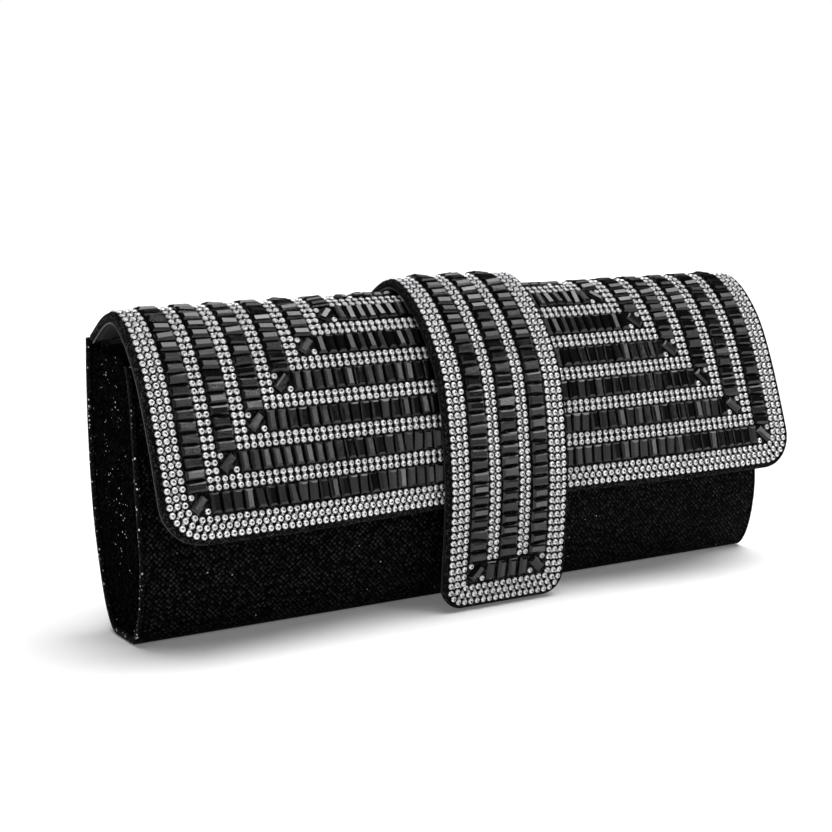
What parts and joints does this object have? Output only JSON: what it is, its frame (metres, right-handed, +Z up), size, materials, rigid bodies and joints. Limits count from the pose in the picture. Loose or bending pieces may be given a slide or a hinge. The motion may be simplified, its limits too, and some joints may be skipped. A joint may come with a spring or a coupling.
{
  "type": "evening bag",
  "caption": "Rigid clutch evening bag: a round-bottomed fabric shell, a curved flap covered in nested stonework, and a stone-set strap that wraps over it to a magnetic snap.",
  "frame": {"origin": "middle of the underside, on the surface that the bag stands on", "axes": "+X along the bag to its right end, -Y to the front, where the flap closes, +Z up"},
  "size_m": [0.226, 0.0561, 0.0991],
  "materials": {
    "glitter_fabric": "black glitter knit with fine bright sparkles",
    "plain_fabric": "fine black woven fabric",
    "satin_lining": "black satin",
    "paperboard": "matt grey board",
    "rhinestones": "clear faceted foil-backed stones",
    "baguettes": "jet black step-cut stones",
    "snap_metal": "polished nickel plate",
    "magnet": "matt grey ferrite"
  },
  "bodies": {
    "body": {"shell_board": "paperboard", "shell_cover": "glitter_fabric", "shell_lining": "satin_lining", "left_end_board": "paperboard", "left_end_cover": "glitter_fabric", "left_end_lining": "satin_lining", "right_end_board": "paperboard", "right_end_cover": "glitter_fabric", "right_end_lining": "satin_lining", "mouth_binding": "plain_fabric", "hinge_strip": "plain_fabric", "slip_pocket": "satin_lining", "pocket_binding": "plain_fabric", "snap_socket": "snap_metal", "snap_magnet": "magnet", "socket_backplate": "snap_metal"},
    "flap": {"flap_board": "paperboard", "flap_cover": "plain_fabric", "flap_lining": "satin_lining", "strap_tab": "plain_fabric", "flap_stone_border": "rhinestones", "flap_baguettes_1": "baguettes", "flap_stone_rows_1": "rhinestones", "flap_baguettes_2": "baguettes", "flap_stone_rows_2": "rhinestones", "flap_baguettes_3": "baguettes", "flap_stone_rows_3": "rhinestones", "flap_baguettes_4": "baguettes", "flap_stone_rows_4": "rhinestones", "flap_baguettes_5": "baguettes", "flap_stone_rows_5": "rhinestones", "flap_baguettes_6": "baguettes", "flap_stone_rows_6": "rhinestones", "flap_baguettes_7": "baguettes", "flap_stone_rows_7": "rhinestones"},
    "strap": {"strap_board": "paperboard", "strap_cover": "plain_fabric", "strap_backing": "satin_lining", "strap_stone_border": "rhinestones", "strap_baguette_border": "baguettes", "strap_stone_rows_left": "rhinestones", "strap_stone_rows_right": "rhinestones", "strap_baguettes": "baguettes", "snap_stud": "snap_metal", "stud_backplate": "snap_metal"}
  },
  "joints": [
    {"name": "flap_swing", "type": "hinge", "parent": "body", "child": "flap", "pos_m": [0, 0.0246, 0.0857], "axis": [-1, 0, 0], "range_deg": [0, 115]},
    {"name": "strap_swing", "type": "hinge", "parent": "flap", "child": "strap", "pos_m": [0, 0.0202, 0.092], "axis": [-1, 0, 0], "range_deg": [0, 60]}
  ]
}
